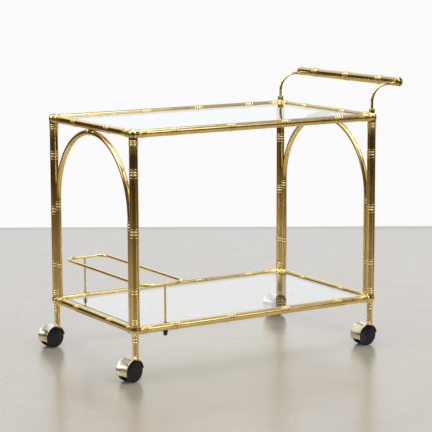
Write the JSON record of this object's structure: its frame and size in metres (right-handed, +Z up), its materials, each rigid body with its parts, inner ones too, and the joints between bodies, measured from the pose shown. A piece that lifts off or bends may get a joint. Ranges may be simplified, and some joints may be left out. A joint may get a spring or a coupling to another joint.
{
  "type": "serving trolley",
  "caption": "Brass faux-bamboo serving trolley: glass shelves, an arch in each end, wire bottle rail, push handle and twin-wheel swivel casters.",
  "frame": {"origin": "on the floor, under the middle of the outline with the casters at rest", "axes": "+X towards the push handle, +Y towards the back long side, +Z up"},
  "size_m": [0.851, 0.4759, 0.7022],
  "materials": {
    "brass": "polished, lacquered",
    "pale_brass": "polished, pale",
    "steel": "turned",
    "clear_glass": "clear float glass, green edge",
    "clear_pad": "clear, soft",
    "black_plastic": "glossy",
    "dark_bush": "moulded"
  },
  "bodies": {
    "frame": {"post_fl": "brass", "post_fr": "brass", "post_bl": "brass", "post_br": "brass", "top_corner_fl": "brass", "top_corner_fr": "brass", "top_corner_bl": "brass", "top_corner_br": "brass", "bottom_corner_fl": "brass", "bottom_corner_fr": "brass", "bottom_corner_bl": "brass", "bottom_corner_br": "brass", "top_rail_front": "brass", "top_rail_back": "brass", "top_rail_left": "brass", "top_rail_right": "brass", "bottom_rail_front": "brass", "bottom_rail_back": "brass", "bottom_rail_left": "brass", "bottom_rail_right": "brass", "left_arch": "brass", "right_arch": "brass", "arch_pins": "steel", "top_glass": "clear_glass", "shelf_glass": "clear_glass", "top_glass_rests": "brass", "shelf_glass_rests": "brass", "top_glass_pads": "clear_pad", "shelf_glass_pads": "clear_pad", "bottle_ring": "brass", "bottle_ring_posts": "brass", "bottle_ring_ferrules": "brass", "bottle_ring_nuts": "black_plastic", "handle_bar": "brass", "handle_rod_front": "brass", "handle_rod_back": "brass", "handle_caps": "brass", "leg_fl": "brass", "leg_fr": "brass", "leg_bl": "brass", "leg_br": "brass", "stem_bushes": "dark_bush"},
    "caster_fl": {"caster_hood_fl": "pale_brass", "caster_pins_fl": "steel"},
    "caster_fr": {"caster_hood_fr": "pale_brass", "caster_pins_fr": "steel"},
    "caster_bl": {"caster_hood_bl": "pale_brass", "caster_pins_bl": "steel"},
    "caster_br": {"caster_hood_br": "pale_brass", "caster_pins_br": "steel"},
    "wheel_outer_fl": {"wheel_outer_fl": "black_plastic"},
    "wheel_inner_fl": {"wheel_inner_fl": "black_plastic"},
    "wheel_outer_fr": {"wheel_outer_fr": "black_plastic"},
    "wheel_inner_fr": {"wheel_inner_fr": "black_plastic"},
    "wheel_outer_bl": {"wheel_outer_bl": "black_plastic"},
    "wheel_inner_bl": {"wheel_inner_bl": "black_plastic"},
    "wheel_outer_br": {"wheel_outer_br": "black_plastic"},
    "wheel_inner_br": {"wheel_inner_br": "black_plastic"}
  },
  "joints": [
    {"name": "swivel_fl", "type": "hinge", "parent": "frame", "child": "caster_fl", "pos_m": [-0.37168, -0.20622, 0.05558], "axis": [0, 0, 1], "continuous": true},
    {"name": "swivel_fr", "type": "hinge", "parent": "frame", "child": "caster_fr", "pos_m": [0.33632, -0.20622, 0.05558], "axis": [0, 0, 1], "continuous": true},
    {"name": "swivel_bl", "type": "hinge", "parent": "frame", "child": "caster_bl", "pos_m": [-0.37168, 0.21778, 0.05558], "axis": [0, 0, 1], "continuous": true},
    {"name": "swivel_br", "type": "hinge", "parent": "frame", "child": "caster_br", "pos_m": [0.33632, 0.21778, 0.05558], "axis": [0, 0, 1], "continuous": true},
    {"name": "spin_outer_fl", "type": "hinge", "parent": "caster_fl", "child": "wheel_outer_fl", "pos_m": [-0.39091, -0.21174, 0.027], "axis": [-0.2756, 0.9613, 0], "continuous": true},
    {"name": "spin_inner_fl", "type": "hinge", "parent": "caster_fl", "child": "wheel_inner_fl", "pos_m": [-0.39091, -0.21174, 0.027], "axis": [-0.2756, 0.9613, 0], "continuous": true},
    {"name": "spin_outer_fr", "type": "hinge", "parent": "caster_fr", "child": "wheel_outer_fr", "pos_m": [0.31639, -0.20797, 0.027], "axis": [-0.0872, 0.9962, 0], "continuous": true},
    {"name": "spin_inner_fr", "type": "hinge", "parent": "caster_fr", "child": "wheel_inner_fr", "pos_m": [0.31639, -0.20797, 0.027], "axis": [-0.0872, 0.9962, 0], "continuous": true},
    {"name": "spin_outer_bl", "type": "hinge", "parent": "caster_bl", "child": "wheel_outer_bl", "pos_m": [-0.39132, 0.21396, 0.027], "axis": [-0.1908, 0.9816, 0], "continuous": true},
    {"name": "spin_inner_bl", "type": "hinge", "parent": "caster_bl", "child": "wheel_inner_bl", "pos_m": [-0.39132, 0.21396, 0.027], "axis": [-0.1908, 0.9816, 0], "continuous": true},
    {"name": "spin_outer_br", "type": "hinge", "parent": "caster_br", "child": "wheel_outer_br", "pos_m": [0.31668, 0.21396, 0.027], "axis": [-0.1908, 0.9816, 0], "continuous": true},
    {"name": "spin_inner_br", "type": "hinge", "parent": "caster_br", "child": "wheel_inner_br", "pos_m": [0.31668, 0.21396, 0.027], "axis": [-0.1908, 0.9816, 0], "continuous": true}
  ]
}
